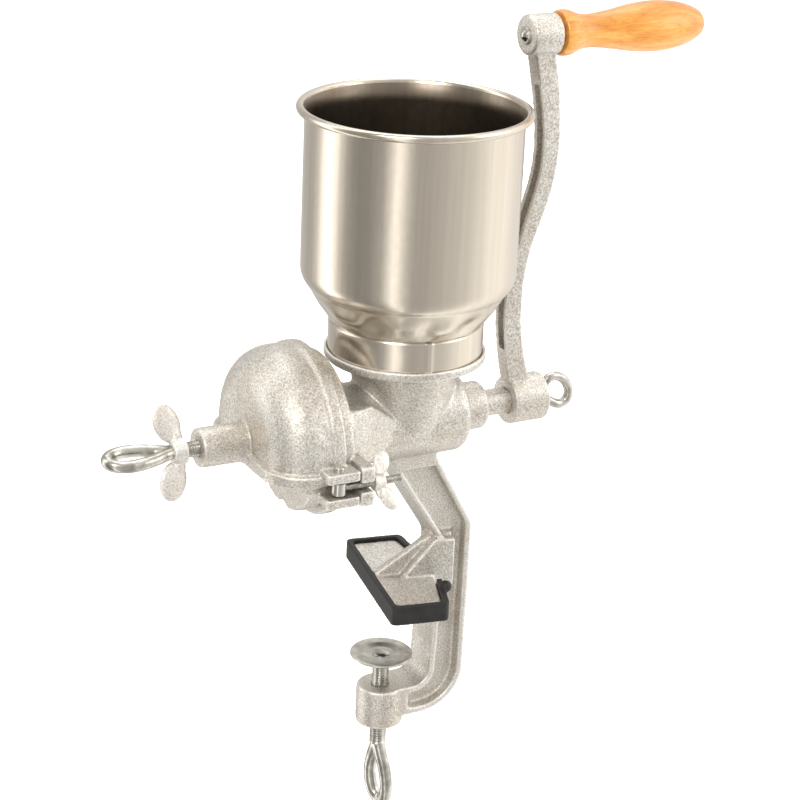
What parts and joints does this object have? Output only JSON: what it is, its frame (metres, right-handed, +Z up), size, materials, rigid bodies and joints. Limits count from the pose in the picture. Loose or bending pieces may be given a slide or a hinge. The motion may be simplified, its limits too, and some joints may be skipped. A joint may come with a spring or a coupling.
{
  "type": "hand crank grain mill",
  "caption": "Clamp-on hand crank burr mill: cast body on a C-clamp leg, sheet hopper, hooded burrs with an adjusting screw, long crank with a wooden grip.",
  "frame": {"origin": "centre of the upper jaw's seat, on the clamp screw's axis, where the mill rests on the table top", "axes": "+X along the shaft towards the crank, +Z up, the burrs overhang the table on the -X side"},
  "size_m": [0.4053, 0.1449, 0.5347],
  "materials": {
    "tinned_iron": "tinned rough casting",
    "stainless_sheet": "bright rolled sheet",
    "zinc_steel": "bright zinc plated",
    "burr_iron": "ground hard iron",
    "varnished_beech": "orange varnished beech",
    "black_rubber": "matt moulded rubber"
  },
  "bodies": {
    "frame": {"mill_body": "tinned_iron", "burr_cover": "tinned_iron", "swing_pin_near": "zinc_steel", "swing_pin_far": "zinc_steel", "fixed_burr": "burr_iron", "fixed_burr_screws": "zinc_steel", "thrust_washer": "zinc_steel", "jaw_boot": "black_rubber"},
    "hopper_unit": {"hopper": "stainless_sheet", "hopper_rim_wire": "zinc_steel", "hopper_collar": "stainless_sheet"},
    "thrust": {"thrust_ball": "zinc_steel"},
    "rotor": {"rotating_burr": "burr_iron", "burr_carrier": "burr_iron", "carrier_pin": "zinc_steel", "feed_screw": "burr_iron", "crank_arm": "tinned_iron", "handle_spindle": "zinc_steel", "spindle_ring": "zinc_steel", "handle_washer": "zinc_steel"},
    "handle": {"handle_grip": "varnished_beech"},
    "eye_screw": {"crank_eye_screw": "zinc_steel"},
    "adjuster": {"adjusting_screw": "zinc_steel"},
    "lock_nut": {"lock_wing_nut": "tinned_iron"},
    "bolt_near": {"swing_bolt_near": "zinc_steel"},
    "bolt_far": {"swing_bolt_far": "zinc_steel"},
    "nut_near": {"cover_wing_nut_near": "tinned_iron"},
    "nut_far": {"cover_wing_nut_far": "tinned_iron"},
    "clamp_foot": {"clamp_disc": "zinc_steel"},
    "clamp_screw": {"clamp_screw": "zinc_steel", "clamp_rivet": "zinc_steel"}
  },
  "joints": [
    {"name": "hopper_lift", "type": "slide", "parent": "frame", "child": "hopper_unit", "axis": [0, 0, 1], "range_m": [0, 0.028]},
    {"name": "burr_gap", "type": "slide", "parent": "frame", "child": "thrust", "axis": [1, 0, 0], "range_m": [-0.0025, 0.0006]},
    {"name": "adjusting_turn", "type": "hinge", "parent": "thrust", "child": "adjuster", "pos_m": [-0.15, 0, 0.12], "axis": [1, 0, 0], "range_deg": [-600.5, 144.5]},
    {"name": "crank_turn", "type": "hinge", "parent": "thrust", "child": "rotor", "pos_m": [0.007, 0, 0.12], "axis": [1, 0, 0], "continuous": true},
    {"name": "grip_turn", "type": "hinge", "parent": "rotor", "child": "handle", "pos_m": [0.147, 0, 0.3593], "axis": [1, 0, 0], "continuous": true},
    {"name": "eye_screw_turn", "type": "hinge", "parent": "rotor", "child": "eye_screw", "pos_m": [0.115, 0, 0.12], "axis": [1, 0, 0], "range_deg": [-360, 0]},
    {"name": "lock_nut_turn", "type": "hinge", "parent": "frame", "child": "lock_nut", "pos_m": [-0.145, 0, 0.12], "axis": [1, 0, 0], "continuous": true},
    {"name": "swing_near", "type": "hinge", "parent": "frame", "child": "bolt_near", "pos_m": [-0.068, -0.062, 0.1078], "axis": [0, 0, 1], "range_deg": [-110, 0]},
    {"name": "swing_far", "type": "hinge", "parent": "frame", "child": "bolt_far", "pos_m": [-0.068, 0.062, 0.1078], "axis": [0, 0, 1], "range_deg": [0, 110]},
    {"name": "wing_nut_near_turn", "type": "hinge", "parent": "bolt_near", "child": "nut_near", "pos_m": [-0.043, -0.062, 0.1078], "axis": [1, 0, 0], "continuous": true},
    {"name": "wing_nut_far_turn", "type": "hinge", "parent": "bolt_far", "child": "nut_far", "pos_m": [-0.043, 0.062, 0.1078], "axis": [1, 0, 0], "continuous": true},
    {"name": "clamp_travel", "type": "slide", "parent": "frame", "child": "clamp_foot", "axis": [0, 0, 1], "range_m": [-0.018, 0.017]},
    {"name": "clamp_turn", "type": "hinge", "parent": "clamp_foot", "child": "clamp_screw", "pos_m": [0, 0, -0.1], "axis": [0, 0, 1], "range_deg": [-3704, 3498]}
  ],
  "couplings": [
    {"joint": "adjusting_turn", "follows": "burr_gap", "rad_per_m": 4188.8},
    {"joint": "clamp_turn", "follows": "clamp_travel", "rad_per_m": 3590.4}
  ]
}
